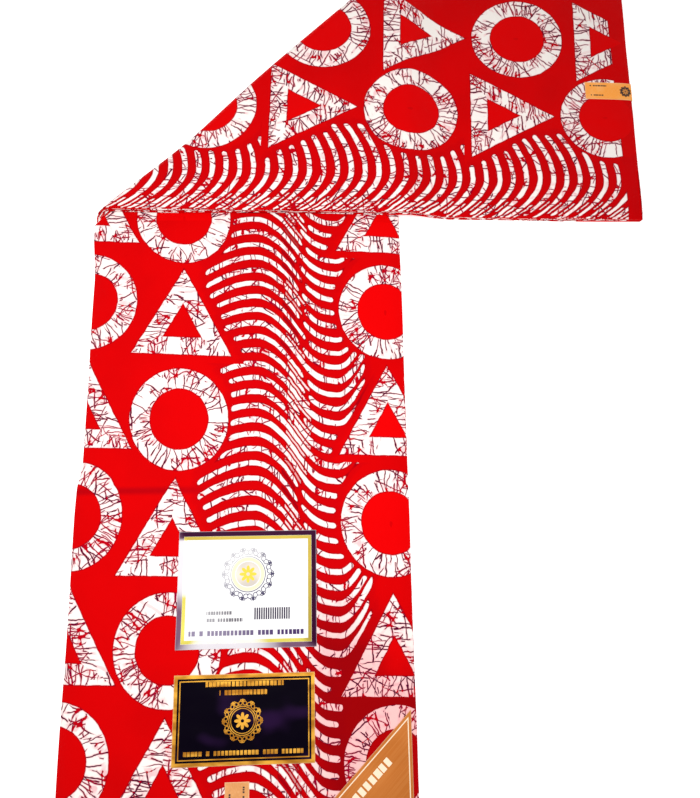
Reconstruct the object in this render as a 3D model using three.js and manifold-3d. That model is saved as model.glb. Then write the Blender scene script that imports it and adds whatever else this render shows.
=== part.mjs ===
// Six yards of wax print cotton, lapped into a long strip and turned once on the diagonal.
//
// The cloth is folded to and fro across its length into 18 laps, so the strip is one lap wide and as
// long as the cloth is wide, selvedge to selvedge. It lies flat. Its lower run goes from the foot
// selvedge up to a 45 degree fold, which turns the whole stack over, and the arm goes off to the right
// on top of it, steps down off the lower run's edge and ends in the other selvedge. The stack's first
// pair of laps shows on the lower run, its last pair goes round the outside of the fold and shows on
// the arm, and the laps between them are one solid, beaded along its edges. Three paper labels lie on
// the lower run, and a paper sticker grips each selvedge end.
//
// Millimetres, +Z up. The stack is described by u, across the strip from its outer edge, s, along the
// strip from the foot selvedge, and h, up through the stack where it lies on the floor.

import * as THREE from "three";
import { mergeVertices } from "three/addons/utils/BufferGeometryUtils.js";
import Module from "manifold-3d";

const wasm = await Module();
wasm.setup();

const { clamp, lerp } = THREE.MathUtils;

// ---- driving sizes ----
const YARD = 914.4;
const CLOTH_LENGTH = 6 * YARD;
const LAPS = 18;
const LAP = CLOTH_LENGTH / LAPS; // the strip's width
const CLOTH_WIDTH = 1130; // selvedge to selvedge, the strip's length
const LAYER_PITCH = 0.55; // cotton 0.3 thick, and the air between two laps
const STACK = LAPS * LAYER_PITCH;
const PAIR = 2 * LAYER_PITCH; // one folded pair of laps

const ARM_REACH = 562; // from the strip's outer edge to the arm's selvedge
const ARM_SKEW = 0.015; // that selvedge leans out by this much for each millimetre of u
const BEND = 22; // the strip's length that the diagonal fold takes up
const BEND_REACH = 0.7; // the fold is pressed, so it stands out by this share of its height
const FOLD_BOW = { depth: 5, at: 125, along: 75, fade: 45 }; // its edge bows inwards, low down
const TURN_GAP = 0.4; // between the lower run and the arm on it
const SEAM_GAP = 0.4; // between neighbouring solids of the stack
const STEP_DOWN = { start: 5, length: 50 }; // where the arm leaves the lower run, past its edge

const PACK_FOLDS = 4; // the strip was sold folded in four, which leaves a crease at each quarter
const CREASE = { depth: 1.3, reach: 12 };
const EDGE_DROOP = { depth: 2.2, reach: 7 }; // the stack is pressed thinner along its edges
const END_DROOP = { depth: 1.4, reach: 9 };
const BEAD_INSET = 1.1; // how deep the groove between two folded pairs is
const EDGE_WANDER = 0.8; // how far a folded edge strays from the strip's edge
const END_WANDER = 1.6; // and a selvedge from the strip's end
const DRAWN_IN = 4; // how far the outer edge is drawn in between the lower crease and the fold

// The soft hills of the stack: where they are, how far they reach and how high they stand.
const PUCKERS = [
  { u: 55, s: 430, reachU: 60, reachS: 55, height: 1.5 },
  { u: 235, s: 455, reachU: 60, reachS: 50, height: 1.1 },
  { u: 175, s: 345, reachU: 85, reachS: 38, height: 1.2 },
  { u: 45, s: 205, reachU: 40, reachS: 70, height: 1.2 },
  { u: 268, s: 190, reachU: 32, reachS: 60, height: 1.4 },
  { u: 70, s: 60, reachU: 50, reachS: 35, height: 1.0 },
  { u: 60, s: 790, reachU: 45, reachS: 60, height: 1.3 },
  { u: 265, s: 905, reachU: 40, reachS: 45, height: 1.5 },
  { u: 150, s: 985, reachU: 60, reachS: 40, height: 1.4 },
  { u: 245, s: 1035, reachU: 45, reachS: 50, height: 2.4 },
  { u: 60, s: 1050, reachU: 45, reachS: 45, height: 2.0 },
];

// Labels on the lower run, from the strip's outer edge and the foot selvedge, and the two stickers.
const PAPER = { lift: 0.35, thick: 0.5 };
const WHITE_LABEL = { u0: 95, u1: 218, s0: 153, s1: 254 };
const NAVY_LABEL = { u0: 95, u1: 216, s0: 59, s1: 132 };
const CORNER_LABEL = { leg: 92, fromEdge: 5, fromFoot: 7 };
const STICKER = { u0: 140, u1: 160.5, reachFoot: 46, reachArm: 52 };
const GRIP = { rise: 1.5, press: 2.1, fade: 22 }; // a sticker lifts the underside and presses the top

// ---- places worked out from them ----
const SLANT = BEND / Math.SQRT2;
const FOOT = CLOTH_WIDTH - ARM_REACH - SLANT; // s where the fold starts, at the outer edge
const SEAT = STACK + TURN_GAP; // the arm's underside where it lies on the lower run
const BEND_AXIS = STACK + TURN_GAP / 2;
const FAN_START = FOOT - 5; // the last straight section of the lower run
const FAN_END = FOOT + SLANT + LAP + 19; // the first straight section of the arm
const CREASES = [CLOTH_WIDTH / PACK_FOLDS, CLOTH_WIDTH - CLOTH_WIDTH / PACK_FOLDS];

// ---- the shape of the stack ----
const smooth = (t) => clamp(t, 0, 1) ** 2 * (3 - 2 * clamp(t, 0, 1));
const bell = (t) => Math.exp(-t * t);
const pastFold = (u, s) => (s - FOOT - u) / Math.SQRT2; // the way across the fold, from its start
const armEnd = (u) => CLOTH_WIDTH + ARM_SKEW * u;

// 1 on a sticker's own patch of an end of the strip, and 0 away from it.
function gripped(u, fromEnd, reach) {
  const across = Math.max(STICKER.u0 - u, u - STICKER.u1, 0) / GRIP.fade;
  const along = Math.max(fromEnd - reach, 0) / GRIP.fade;
  return 1 - smooth(Math.hypot(across, along));
}

const grip = (u, s) =>
  Math.max(gripped(u, s, STICKER.reachFoot), gripped(u, armEnd(u) - s, STICKER.reachArm));

// How much the stack's top stands above its even height, or below it.
function swell(u, s) {
  const fromFold = smooth(Math.max(-pastFold(u, s), pastFold(u, s) - BEND) / 40);
  const edges = Math.exp(-u / EDGE_DROOP.reach) + Math.exp((u - LAP) / EDGE_DROOP.reach);
  const ends = Math.exp(-s / END_DROOP.reach) + Math.exp((s - armEnd(u)) / END_DROOP.reach);
  let height = -fromFold * (EDGE_DROOP.depth * edges + END_DROOP.depth * ends);
  for (const p of PUCKERS)
    height += p.height * bell((u - p.u) / p.reachU) * bell((s - p.s) / p.reachS);
  for (const crease of CREASES) height -= CREASE.depth * bell((s - crease) / CREASE.reach);
  const underArm = s < FOOT + u ? smooth((s - FOOT + 40) / 30) : 0;
  if (height > 0) height *= 1 - underArm;
  return height - GRIP.press * grip(u, s);
}

// The height, off the stack's underside, of what is h up in the even stack. The sheets that show keep
// their thickness, and the laps between them take up the swell.
function lifted(u, s, h) {
  const share = clamp((h - PAIR) / (STACK - 2 * PAIR), 0, 1);
  return h + swell(u, s) * share;
}

// The lower run lies on the floor.
function onFoot(u, s, h) {
  const narrowed = DRAWN_IN * smooth((s - CREASES[0]) / 25) * smooth((FOOT - s) / 60);
  const x = u + narrowed * (1 - u / LAP);
  return new THREE.Vector3(x, s - FOOT - SLANT, GRIP.rise * grip(u, s) + lifted(u, s, h));
}

// The bend turns about a level axis on the diagonal.
function onBend(u, s, h) {
  const along = (u + s - FOOT) / Math.SQRT2;
  const angle = (Math.PI * pastFold(u, s)) / BEND;
  const radius = BEND_AXIS - h;
  const out = radius * Math.sin(angle) * BEND_REACH;
  const x = (along - out) / Math.SQRT2;
  const y = (along + out) / Math.SQRT2 - SLANT;
  return new THREE.Vector3(x, y, BEND_AXIS - radius * Math.cos(angle));
}

// The arm lies upside down on the lower run, and past its edge on the floor.
function onArm(u, s, h) {
  const x = s - FOOT - SLANT;
  const down = smooth((x - LAP - STEP_DOWN.start) / STEP_DOWN.length);
  const base = SEAT * (1 - down) + GRIP.rise * grip(u, s);
  return new THREE.Vector3(x, u, base + lifted(u, s, STACK - h));
}

// A point of the stack in the part's frame.
function place(u, s, h) {
  const past = pastFold(u, s);
  const stretch = past <= 0 ? onFoot : past < BEND ? onBend : onArm;
  const point = stretch(u, s, h);
  const along = (point.x + point.y + SLANT) / Math.SQRT2;
  const off = (point.y + SLANT - point.x) / Math.SQRT2;
  const nearFold = bell((along - FOLD_BOW.at) / FOLD_BOW.along) * bell(off / FOLD_BOW.fade);
  const bow = FOLD_BOW.depth * nearFold * Math.SQRT1_2;
  return point.add(new THREE.Vector3(bow, -bow, 0));
}

// ---- the grid that all the stack's solids share ----
const COLUMNS = [
  0, 10, 45, WHITE_LABEL.u0, STICKER.u0, STICKER.u1, WHITE_LABEL.u1, 262, LAP - 10, LAP,
];

// The numbers from low to high, with steps put in so that no gap is longer than most.
function filled(stops, most) {
  const out = [stops[0]];
  for (let i = 1; i < stops.length; i++) {
    const steps = Math.ceil((stops[i] - stops[i - 1]) / most - 1e-6);
    for (let k = 1; k <= steps; k++) out.push(lerp(stops[i - 1], stops[i], k / steps));
  }
  return out;
}

// Each section is a function of u that gives s. They are square to the strip on the straight runs,
// and fan out to lie along the fold.
function sections() {
  const [crease] = CREASES;
  const footStops = [
    0, 6, STICKER.reachFoot, NAVY_LABEL.s0, NAVY_LABEL.s1, WHITE_LABEL.s0, WHITE_LABEL.s1,
    crease - CREASE.reach, crease, crease + CREASE.reach, FAN_START,
  ];
  const landing = FOOT + SLANT + LAP + STEP_DOWN.start + STEP_DOWN.length;
  const armStops = [landing, CLOTH_WIDTH - STICKER.reachArm, CLOTH_WIDTH - 6];
  const square = (s) => () => s;
  const fanIn = (t) => (u) => lerp(FAN_START, FOOT + u, t);
  const bend = (t) => (u) => FOOT + u + t * BEND * Math.SQRT2;
  const fanOut = (t) => (u) => lerp(bend(1)(u), FAN_END, t);
  return [
    ...filled(footStops, 40).map(square),
    ...[0.16, 0.34, 0.52, 0.7, 0.86].map(fanIn),
    ...filled([0, 1], 1 / 8).map(bend),
    ...[0.17, 0.34, 0.5, 0.64, 0.75, 0.84, 0.91, 0.96].map(fanOut),
    ...filled([FAN_END, landing], 10).map(square),
    ...filled(armStops, 42).slice(1).map(square),
    armEnd,
  ];
}
const SECTIONS = sections();

// The surface of a block of ni by nj by nk points, each given by at(i, j, k). Its faces point out when
// i, j and k run as x, y and z do.
function blockSurface(ni, nj, nk, at) {
  const corners = [];
  const quad = (a, b, c, d) => corners.push(a, b, c, a, c, d);
  for (let i = 0; i < ni - 1; i++)
    for (let j = 0; j < nj - 1; j++) {
      const k = nk - 1;
      quad(at(i, j, 0), at(i, j + 1, 0), at(i + 1, j + 1, 0), at(i + 1, j, 0));
      quad(at(i, j, k), at(i + 1, j, k), at(i + 1, j + 1, k), at(i, j + 1, k));
    }
  for (let j = 0; j < nj - 1; j++)
    for (let k = 0; k < nk - 1; k++) {
      const i = ni - 1;
      quad(at(0, j, k), at(0, j, k + 1), at(0, j + 1, k + 1), at(0, j + 1, k));
      quad(at(i, j, k), at(i, j + 1, k), at(i, j + 1, k + 1), at(i, j, k + 1));
    }
  for (let i = 0; i < ni - 1; i++)
    for (let k = 0; k < nk - 1; k++) {
      const j = nj - 1;
      quad(at(i, 0, k), at(i + 1, 0, k), at(i + 1, 0, k + 1), at(i, 0, k + 1));
      quad(at(i, j, k), at(i, j, k + 1), at(i + 1, j, k + 1), at(i + 1, j, k));
    }
  return mergeVertices(new THREE.BufferGeometry().setFromPoints(corners), 1e-4);
}

// ---- the cloth ----

// The rows of points up the edge of a solid that holds the folded pairs between two heights: for each
// pair a groove and then the two shoulders of its rounded edge.
function beadRows(low, high) {
  const pairs = Math.max(1, Math.round((high - low) / PAIR));
  const rows = [];
  for (let pair = 0; pair < pairs; pair++) {
    rows.push({ pair, groove: true, share: pair / pairs });
    rows.push({ pair, groove: false, share: (pair + 0.26) / pairs });
    rows.push({ pair, groove: false, share: (pair + 0.74) / pairs });
  }
  rows.push({ pair: pairs, groove: true, share: 1 });
  return rows.map((row) => ({ ...row, h: lerp(low, high, row.share) }));
}

// The folded pairs between two heights of the stack. No two edges run quite the same way.
function clothGeometry(low, high) {
  const rows = beadRows(low, high);
  const last = { column: COLUMNS.length - 1, section: SECTIONS.length - 1 };
  return blockSurface(COLUMNS.length, SECTIONS.length, rows.length, (i, j, k) => {
    const { h, pair, groove } = rows[k];
    let u = COLUMNS[i];
    let s = SECTIONS[j](u);
    const edge = EDGE_WANDER * (0.5 + 0.5 * Math.sin(s / (31 + 3 * pair) + 2.1 * h));
    const end = END_WANDER * (0.5 + 0.5 * Math.sin(u / 70 + 3.7 * h));
    const inFromEdge = groove ? BEAD_INSET : edge;
    const inFromEnd = groove ? BEAD_INSET + END_WANDER : end;
    if (i === 0) u += inFromEdge;
    if (i === last.column) u -= inFromEdge;
    if (j === 0) s += inFromEnd;
    if (j === last.section) s -= inFromEnd;
    return place(u, s, h);
  });
}

// ---- the paper ----
const sectionPlaces = SECTIONS.map((section) => section(0));
const within = (list, low, high) => list.filter((value) => value > low - 1 && value < high + 1);

// Paper laid on the lower run, made from the cloth's own grid points, moved up.
function laidPaper(us, ss) {
  return blockSurface(us.length, ss.length, 2, (i, j, k) => {
    const point = place(us[i], ss[j], STACK);
    point.z += PAPER.lift + k * PAPER.thick;
    return point;
  });
}

function label({ u0, u1, s0, s1 }) {
  const us = [u0, ...COLUMNS.filter((u) => u > u0 && u < u1), u1];
  return laidPaper(us, within(sectionPlaces, s0, s1));
}

function solid(geometry) {
  const { attributes, index } = mergeVertices(geometry, 1e-4);
  const vertProperties = attributes.position.array;
  const triVerts = new Uint32Array(index.array);
  return new wasm.Manifold(new wasm.Mesh({ numProp: 3, vertProperties, triVerts }));
}

function geometryOf(manifold) {
  const { vertProperties, triVerts } = manifold.getMesh();
  const geometry = new THREE.BufferGeometry();
  geometry.setAttribute("position", new THREE.BufferAttribute(vertProperties, 3));
  geometry.setIndex(new THREE.BufferAttribute(triVerts, 1));
  return geometry;
}

// The corner label is a right triangle, cut out of a square of laid paper.
function cornerLabel() {
  const { leg, fromEdge, fromFoot } = CORNER_LABEL;
  const right = LAP - fromEdge;
  const low = fromFoot - FOOT - SLANT;
  const square = laidPaper(within(COLUMNS, STICKER.u1, LAP), within(sectionPlaces, 0, NAVY_LABEL.s1));
  const triangle = new THREE.Shape([
    new THREE.Vector2(right, low),
    new THREE.Vector2(right, low + leg),
    new THREE.Vector2(right - leg, low),
  ]);
  const cutter = new THREE.ExtrudeGeometry(triangle, { depth: 2 * STACK, bevelEnabled: false });
  cutter.deleteAttribute("normal");
  cutter.deleteAttribute("uv");
  return geometryOf(solid(square).intersect(solid(cutter)));
}

// A sticker lies on one end of the strip, goes down its end face and is tucked under it.
function sticker({ end, reach, out, topFace, underFace }) {
  const toEnd = sectionPlaces
    .filter((s) => Math.abs(end - s) < reach + 1 && Math.abs(end - s) > 1)
    .sort((a, b) => Math.abs(end - b) - Math.abs(end - a));
  const path = [
    ...toEnd.map((s) => ({ s, face: topFace, way: new THREE.Vector3(0, 0, 1) })),
    { s: end, face: topFace, way: new THREE.Vector3(0, 0, 1).add(out) },
    { s: end, face: underFace, way: new THREE.Vector3(0, 0, -1).add(out) },
    ...toEnd.reverse().map((s) => ({ s, face: underFace, way: new THREE.Vector3(0, 0, -1) })),
  ];
  const us = [STICKER.u1, STICKER.u0];
  return blockSurface(us.length, path.length, 2, (i, j, k) => {
    const { s, face, way } = path[j];
    const atEnd = s === CLOTH_WIDTH ? armEnd(us[i]) : s;
    return place(us[i], atEnd, face).addScaledVector(way, PAPER.lift + k * PAPER.thick);
  });
}

// ---- the part ----
const matte = (color, roughness, metalness) =>
  new THREE.MeshStandardMaterial({ color, roughness, metalness });
const faceCotton = () => matte(0xe00408, 0.6, 0);
const edgeCotton = () => matte(0xc80307, 0.7, 0);

const footEnd = {
  end: 0, reach: STICKER.reachFoot, out: new THREE.Vector3(0, -1, 0), topFace: STACK, underFace: 0,
};
const armSelvedge = {
  end: CLOTH_WIDTH, reach: STICKER.reachArm, out: new THREE.Vector3(1, 0, 0), topFace: 0, underFace: STACK,
};

const pieces = [
  ["run_sheet", clothGeometry(STACK - PAIR, STACK), faceCotton()],
  ["hidden_laps", clothGeometry(PAIR + SEAM_GAP, STACK - PAIR - SEAM_GAP), edgeCotton()],
  ["arm_sheet", clothGeometry(0, PAIR), faceCotton()],
  ["white_label", label(WHITE_LABEL), matte(0xf8f6f2, 0.35, 0)],
  ["navy_label", label(NAVY_LABEL), matte(0x17041f, 0.3, 0)],
  ["corner_label", cornerLabel(), matte(0xcf7a32, 0.35, 0.5)],
  ["foot_sticker", sticker(footEnd), matte(0xf2a85c, 0.5, 0)],
  ["arm_sticker", sticker(armSelvedge), matte(0xf2a85c, 0.5, 0)],
];

const part = new THREE.Group();
for (const [name, geometry, material] of pieces) {
  const mesh = new THREE.Mesh(geometry, material);
  mesh.name = name;
  part.add(mesh);
}

// The origin is in the middle of the part's box, on the floor.
const box = new THREE.Box3().setFromObject(part);
const centre = box.getCenter(new THREE.Vector3());
for (const mesh of part.children) mesh.position.set(-centre.x, -centre.y, -box.min.z);

export default part;
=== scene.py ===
import math

import bpy
import numpy as np
from mathutils import Matrix


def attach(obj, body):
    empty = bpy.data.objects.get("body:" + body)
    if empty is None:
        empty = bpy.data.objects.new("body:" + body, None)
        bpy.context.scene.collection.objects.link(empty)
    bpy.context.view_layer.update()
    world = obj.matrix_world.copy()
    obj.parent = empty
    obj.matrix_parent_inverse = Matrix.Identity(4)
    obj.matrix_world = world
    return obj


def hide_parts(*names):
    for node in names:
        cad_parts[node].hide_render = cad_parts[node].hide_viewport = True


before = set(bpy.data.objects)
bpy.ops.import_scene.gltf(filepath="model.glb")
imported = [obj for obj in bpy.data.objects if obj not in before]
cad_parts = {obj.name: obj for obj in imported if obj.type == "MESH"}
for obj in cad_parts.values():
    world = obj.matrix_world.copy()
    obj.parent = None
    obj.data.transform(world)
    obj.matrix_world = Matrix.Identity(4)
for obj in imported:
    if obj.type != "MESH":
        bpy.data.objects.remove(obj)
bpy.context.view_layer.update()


# ======== The face of the lower run ========
# The first folded pair of laps: wax print cotton, printed red with rings, open triangles and waves left
# in the white of the cloth, crackled where the wax broke, and pressed to a sheen. Nothing fixes it. It
# lies on the laps below and goes on under the arm.

MM = 1000.0  # the print and the papers' designs are worked out in millimetres
YARD = 0.9144
LAPS = 18
LAP = 6 * YARD / LAPS  # the strip's width
CLOTH_WIDTH = 1.130  # selvedge to selvedge, the strip's length
LAYER_PITCH = 0.00055
STACK = LAPS * LAYER_PITCH
PAIR = 2 * LAYER_PITCH

ARM_REACH = 0.562
ARM_SKEW = 0.015  # the arm's selvedge leans out by this share of u
BEND = 0.022  # the strip's length that the diagonal fold takes up
BEND_REACH = 0.7
BOW_DEPTH, BOW_AT, BOW_ALONG, BOW_FADE = 0.005, 0.125, 0.075, 0.045
TURN_GAP = 0.0004
STEP_START, STEP_LENGTH = 0.005, 0.050  # where the arm leaves the lower run's edge

CREASE_DEPTH, CREASE_REACH = 0.0013, 0.012  # the two creases of the pack
PACK_CREASES = (0.2915, 0.8490)  # near a quarter and three quarters of the length
EDGE_DROOP, EDGE_REACH = 0.0022, 0.007
END_DROOP, END_REACH = 0.0014, 0.009
BEAD_INSET = 0.0011
EDGE_WANDER = 0.0008
END_WANDER = 0.0016
DRAWN_IN = 0.004

# The soft hills of the stack: across and along the strip, their reach both ways, and their height.
PUCKERS = (
    (0.055, 0.430, 0.060, 0.055, 0.0015),
    (0.235, 0.455, 0.060, 0.050, 0.0011),
    (0.175, 0.345, 0.085, 0.038, 0.0012),
    (0.045, 0.205, 0.040, 0.070, 0.0012),
    (0.268, 0.190, 0.032, 0.060, 0.0014),
    (0.070, 0.060, 0.050, 0.035, 0.0010),
    (0.060, 0.790, 0.045, 0.060, 0.0013),
    (0.265, 0.905, 0.040, 0.045, 0.0015),
    (0.150, 0.985, 0.060, 0.040, 0.0014),
    (0.245, 1.035, 0.045, 0.050, 0.0024),
    (0.060, 1.050, 0.045, 0.045, 0.0020),
)

STICKER_NEAR, STICKER_FAR = 0.140, 0.1605  # a sticker's two sides, across the strip
REACH_ON_FOOT, REACH_ON_ARM = 0.046, 0.052
GRIP_RISE, GRIP_PRESS, GRIP_FADE = 0.0015, 0.0021, 0.022

STRIP_X, ARM_Y = -0.283286, 0.132025  # the strip's outer edge, and the arm's near edge

ROOT2 = math.sqrt(2)
SLANT = BEND / ROOT2
FOOT = CLOTH_WIDTH - ARM_REACH - SLANT  # s where the fold starts, at the outer edge
SEAT = STACK + TURN_GAP
BEND_AXIS = STACK + TURN_GAP / 2


def smooth(t):
    t = np.clip(t, 0, 1)
    return t * t * (3 - 2 * t)


def bell(t):
    return np.exp(-t * t)


def arm_end(u):
    return CLOTH_WIDTH + ARM_SKEW * u


def gripped(u, from_end, reach):
    """1 on a sticker's own patch of an end of the strip, and 0 away from it."""
    across = np.maximum(np.maximum(STICKER_NEAR - u, u - STICKER_FAR), 0) / GRIP_FADE
    along = np.maximum(from_end - reach, 0) / GRIP_FADE
    return 1 - smooth(np.hypot(across, along))


def grip(u, s):
    return np.maximum(gripped(u, s, REACH_ON_FOOT), gripped(u, arm_end(u) - s, REACH_ON_ARM))


def swell(u, s):
    """How much the stack's top stands above its even height, or below it."""
    past = (s - FOOT - u) / ROOT2
    from_fold = smooth(np.maximum(-past, past - BEND) / 0.040)
    edges = np.exp(-u / EDGE_REACH) + np.exp((u - LAP) / EDGE_REACH)
    ends = np.exp(-s / END_REACH) + np.exp((s - arm_end(u)) / END_REACH)
    height = -from_fold * (EDGE_DROOP * edges + END_DROOP * ends)
    for across, along, reach_across, reach_along, rise in PUCKERS:
        height = height + rise * bell((u - across) / reach_across) * bell((s - along) / reach_along)
    for crease in PACK_CREASES:
        height = height - CREASE_DEPTH * bell((s - crease) / CREASE_REACH)
    under_arm = np.where(s < FOOT + u, smooth((s - FOOT + 0.040) / 0.030), 0)
    height = np.where(height > 0, height * (1 - under_arm), height)
    return height - GRIP_PRESS * grip(u, s)


def place(u, s, h):
    """A point of the stack in the part's frame, as an array that ends in x, y, z."""
    u, s, h = np.broadcast_arrays(u, s, h)
    rise = swell(u, s)
    held = GRIP_RISE * grip(u, s)
    past = (s - FOOT - u) / ROOT2

    def lifted(height):
        return height + rise * np.clip((height - PAIR) / (STACK - 2 * PAIR), 0, 1)

    narrowed = DRAWN_IN * smooth((s - PACK_CREASES[0]) / 0.025) * smooth((FOOT - s) / 0.060)
    on_foot = (u + narrowed * (1 - u / LAP), s - FOOT - SLANT, held + lifted(h))

    along = (u + s - FOOT) / ROOT2
    angle = math.pi * past / BEND
    radius = BEND_AXIS - h
    out = radius * np.sin(angle) * BEND_REACH
    on_bend = ((along - out) / ROOT2, (along + out) / ROOT2 - SLANT, BEND_AXIS - radius * np.cos(angle))

    x = s - FOOT - SLANT
    down = smooth((x - LAP - STEP_START) / STEP_LENGTH)
    on_arm = (x, u, SEAT * (1 - down) + held + lifted(STACK - h))

    point = np.empty(u.shape + (3,))
    for way in range(3):
        point[..., way] = np.where(past <= 0, on_foot[way], np.where(past < BEND, on_bend[way], on_arm[way]))
    along = (point[..., 0] + point[..., 1] + SLANT) / ROOT2
    off = (point[..., 1] + SLANT - point[..., 0]) / ROOT2
    bow = BOW_DEPTH * bell((along - BOW_AT) / BOW_ALONG) * bell(off / BOW_FADE) / ROOT2
    point[..., 0] += bow + STRIP_X
    point[..., 1] += ARM_Y - bow
    return point


# The small creases of a face: across and along the strip, the way they run in degrees from across,
# half their length, half their width, and their height, which is negative in a trough.
RUN_CREASES = (
    (0.080, 0.2925, 0, 0.110, 0.0022, -0.00050),
    (0.060, 0.2980, 2, 0.060, 0.0030, 0.00025),
    (0.240, 0.2865, -2, 0.050, 0.0028, 0.00022),
    (0.020, 0.3000, 68, 0.024, 0.0040, -0.00035),
    (0.285, 0.3900, 84, 0.050, 0.0045, -0.00030),
    (0.295, 0.2300, 96, 0.040, 0.0040, 0.00030),
    (0.018, 0.4600, 92, 0.070, 0.0050, 0.00028),
    (0.110, 0.5250, 12, 0.055, 0.0050, -0.00030),
    (0.205, 0.5320, -8, 0.045, 0.0045, -0.00026),
    (0.262, 0.5150, 20, 0.030, 0.0040, 0.00028),
    (0.040, 0.5380, 32, 0.020, 0.0032, 0.00030),
    (0.130, 0.4100, -24, 0.036, 0.0055, -0.00022),
    (0.030, 0.1450, 76, 0.045, 0.0055, -0.00030),
    (0.245, 0.1400, 58, 0.042, 0.0050, -0.00030),
    (0.265, 0.0930, 40, 0.030, 0.0045, 0.00032),
    (0.075, 0.0300, 8, 0.050, 0.0045, -0.00030),
    (0.210, 0.0350, -6, 0.036, 0.0040, 0.00025),
    (0.050, 0.0900, 60, 0.026, 0.0045, 0.00022),
)


def small_relief(u, s, creases):
    height = np.zeros(np.broadcast(u, s).shape)
    for across, along, way, half_length, half_width, rise in creases:
        turn = math.radians(way)
        down_it = (u - across) * math.cos(turn) + (s - along) * math.sin(turn)
        off_it = (s - along) * math.cos(turn) - (u - across) * math.sin(turn)
        off_it = off_it + 0.0022 * np.sin(down_it / 0.013 + 90 * across)
        height = height + rise * bell(down_it / half_length) * bell(off_it / half_width)
    return height


def steps(stops, most):
    """The stops from low to high, with steps put in so that no gap is longer than most."""
    out = [stops[0]]
    for low, high in zip(stops, stops[1:]):
        count = math.ceil((high - low) / most - 1e-9)
        out += [low + (high - low) * (n + 1) / count for n in range(count)]
    return np.array(out)


CLOTH_STEP = 0.0042
FAN_START = FOOT - 0.005
FAN_END = FOOT + SLANT + LAP + 0.019
FAN_STEPS = 74
BEND_STEPS = 26


def sections(u):
    """s for each section and column. They are square to the strip, and fan out to lie along the fold."""
    foot = steps([0, 0.0012, 0.004, FAN_START], CLOTH_STEP)
    arm = steps([FAN_END, CLOTH_WIDTH - 0.004, CLOTH_WIDTH - 0.0012], CLOTH_STEP)[1:]
    fan = np.linspace(0, 1, FAN_STEPS + 1)[1:, None]
    turned = np.linspace(0, 1, BEND_STEPS + 1)[1:, None]
    start = FOOT + u
    landed = start + BEND * ROOT2
    return np.vstack([
        foot[:, None] + 0 * u,
        FAN_START + (start - FAN_START) * fan,
        start + BEND * ROOT2 * turned,
        landed + (FAN_END - landed) * fan,
        arm[:, None] + 0 * u,
        arm_end(u)[None],
    ])


ROWS_PER_LAP = 4
LAP_ROUND = 0.00022  # how far a single lap's selvedge is rounded back


def lap_rows(low, high, count, first):
    """Heights up the edge of some laps of the stack, from the one numbered first, and each row's lap."""
    shares = np.append((np.arange(count * ROWS_PER_LAP) // ROWS_PER_LAP)
                       + np.tile([0, 0.2, 0.5, 0.8], count), count) / count
    return {
        "height": low + (high - low) * shares,
        "lap": np.minimum((shares * count + 1e-6).astype(int), count - 1),
        "share": shares * count,
        "first": first,
    }


def edge_inset(s, rows):
    """How far a folded edge lies inside the strip's edge: each pair of laps is one round bead."""
    pair = rows["lap"] // 2
    across_bead = np.clip(rows["share"] - 2 * pair - 1, -1, 1)
    bead = BEAD_INSET * (1 - np.sqrt(1 - across_bead ** 2))
    wander = EDGE_WANDER * (0.5 + 0.5 * np.sin(s / (0.031 + 0.003 * pair) + 2.1 * (pair + rows["first"])))
    return bead + wander * (1 - np.abs(across_bead) ** 4)


def end_inset(u, rows):
    """How far a selvedge lies inside the strip's end: each lap ends by itself."""
    across_lap = np.clip(2 * (rows["share"] - rows["lap"]) - 1, -1, 1)
    rounded = LAP_ROUND * (1 - np.sqrt(1 - across_lap ** 2)) + 0.0005 * np.abs(across_lap) ** 6
    own = rows["lap"] + rows["first"]
    wander = END_WANDER * (0.5 + 0.3 * np.sin(u / 0.070 + 2.0 * own) + 0.2 * np.sin(u / 0.023 + 5.1 * own))
    return rounded + wander


def quads(grid, turned):
    corners = [grid[:-1, :-1], grid[1:, :-1], grid[1:, 1:], grid[:-1, 1:]]
    if turned:
        corners = [corners[0], corners[3], corners[2], corners[1]]
    return np.stack(corners, -1).reshape(-1, 4)


def bake_grid(weights_a, weights_b, rectangle):
    """Places in the bake's map for a grid of points, spread over a rectangle by the weight of each step."""
    x0, y0, x1, y1 = rectangle
    a = np.append(0, np.cumsum(weights_a)) / np.sum(weights_a)
    b = np.append(0, np.cumsum(weights_b)) / np.sum(weights_b)
    grid = np.empty((len(a), len(b), 2))
    grid[..., 0] = x0 + (x1 - x0) * a[:, None]
    grid[..., 1] = y0 + (y1 - y0) * b[None]
    return grid


def new_object(name, data):
    thing = bpy.data.objects.new(name, data)
    bpy.context.scene.collection.objects.link(thing)
    return thing


def mesh_piece(name, points, faces, corner_maps):
    mesh = bpy.data.meshes.new(name)
    mesh.from_pydata(points.tolist(), [], faces)
    for map_name, values in corner_maps.items():
        layer = mesh.uv_layers.new(name=map_name)
        layer.data.foreach_set("uv", values.astype(np.float32).ravel())
    return new_object(name, mesh)


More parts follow.
